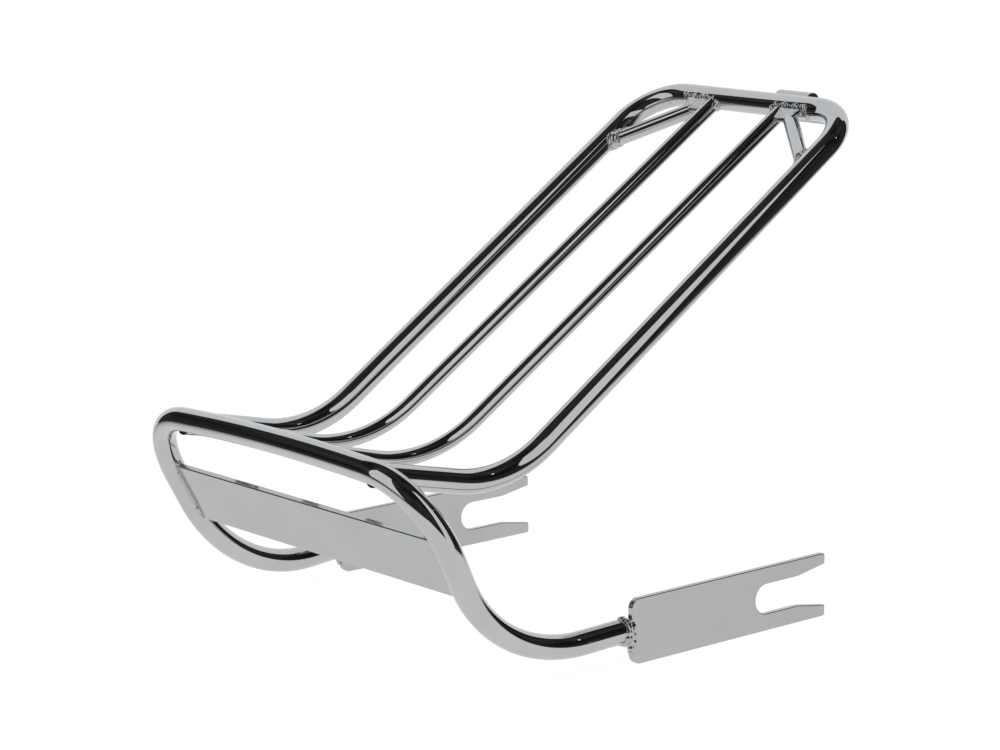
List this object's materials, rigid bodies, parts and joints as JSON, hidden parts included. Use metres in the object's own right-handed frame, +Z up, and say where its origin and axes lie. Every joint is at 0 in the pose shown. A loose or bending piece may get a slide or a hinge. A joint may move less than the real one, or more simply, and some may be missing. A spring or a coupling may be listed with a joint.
{
  "type": "motorcycle luggage rack",
  "caption": "Chrome fender luggage rack: bent rod deck rising forward from an arched rear hoop, a cross plate between the legs and slotted side plates at the feet.",
  "frame": {"origin": "half way along and across the rack, level with the undersides of the side plates", "axes": "+X to the right side of the rack, +Y from the rear hoop towards the front tab, +Z up"},
  "size_m": [0.2392, 0.3428, 0.2487],
  "materials": {
    "chrome_rod": "bright polished chrome on bent round rod",
    "chrome_flat": "chrome over lightly brushed flat bar",
    "weld_bead": "chrome over rough weld beads"
  },
  "bodies": {
    "root": {"rear_hoop": "chrome_rod", "deck_frame": "chrome_rod", "inner_rail_left": "chrome_rod", "inner_rail_right": "chrome_rod", "brace_left": "chrome_rod", "brace_right": "chrome_rod", "cross_plate": "chrome_flat", "side_plate_left": "chrome_flat", "side_plate_right": "chrome_flat", "front_tab": "chrome_flat", "weld_rail_hoop_left": "weld_bead", "weld_rail_hoop_right": "weld_bead", "weld_inner_hoop_left": "weld_bead", "weld_inner_hoop_right": "weld_bead", "weld_front_left": "weld_bead", "weld_front_right": "weld_bead", "weld_brace_rail_left": "weld_bead", "weld_brace_rail_right": "weld_bead", "weld_cross_plate_left": "weld_bead", "weld_cross_plate_right": "weld_bead", "weld_side_plate_left": "weld_bead", "weld_side_plate_right": "weld_bead", "weld_tab": "weld_bead"}
  },
  "joints": []
}
